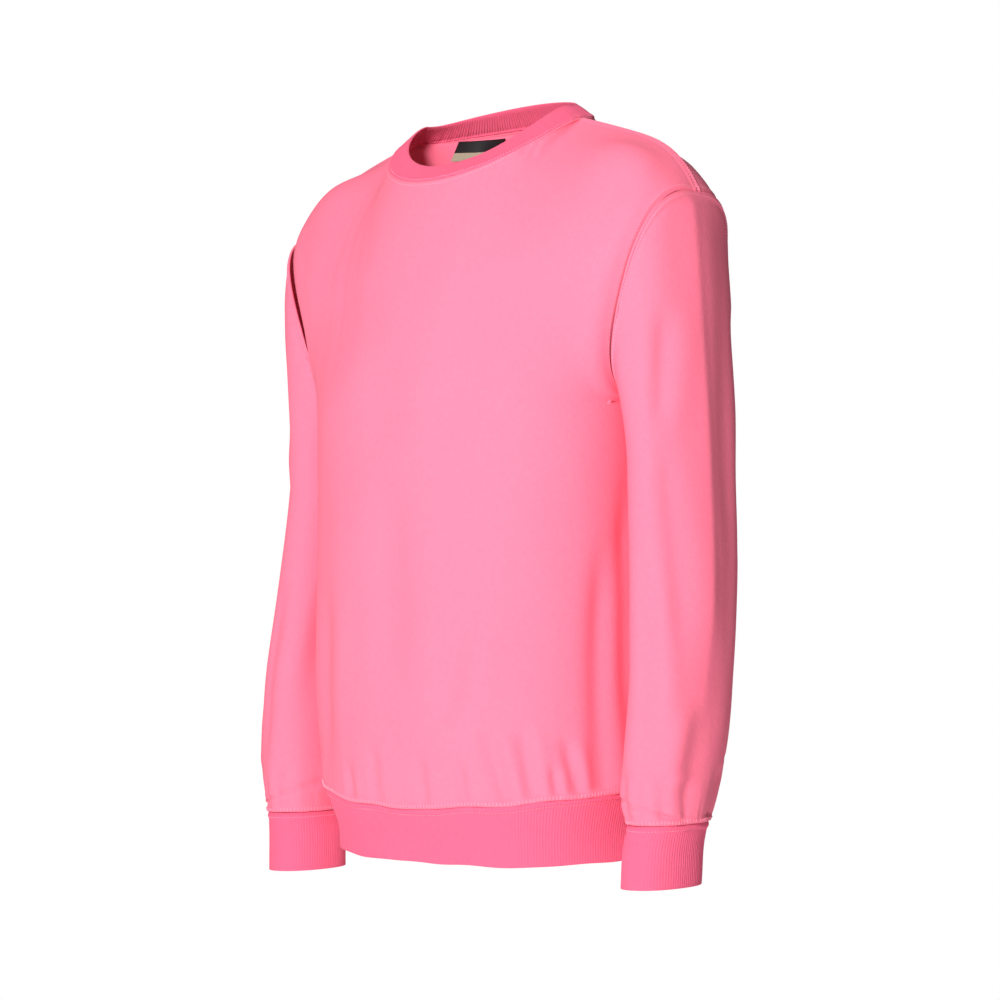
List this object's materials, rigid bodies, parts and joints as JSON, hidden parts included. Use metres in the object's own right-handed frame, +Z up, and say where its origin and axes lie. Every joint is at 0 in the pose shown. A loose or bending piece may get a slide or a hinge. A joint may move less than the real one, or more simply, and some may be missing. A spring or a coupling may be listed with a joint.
{
  "type": "crewneck sweatshirt",
  "caption": "Long-sleeved pullover sweatshirt in worn shape with nobody in it: hollow body and sleeves, round ribbed collar, ribbed waistband and ribbed cuffs.",
  "frame": {"origin": "midway between the two points where the shoulder seams meet the collar, where a wearer's shoulders hold the garment", "axes": "+Z up along the body's length, -Y the front of the garment, +X the wearer's left"},
  "size_m": [0.552, 0.3051, 0.7723],
  "materials": {
    "fleece": "soft brushed-back jersey fleece, matte, pink",
    "rib_knit": "fine one-by-one rib knit, matte, pink",
    "label_black": "black satin ribbon",
    "label_grey": "grey satin ribbon"
  },
  "bodies": {
    "root": {"front_panel": "fleece", "back_panel": "fleece", "sleeve_left": "fleece", "sleeve_right": "fleece", "collar_rib": "rib_knit", "hem_rib": "rib_knit", "cuff_left": "rib_knit", "cuff_right": "rib_knit", "neck_label_black": "label_black", "neck_label_grey": "label_grey"}
  },
  "joints": []
}
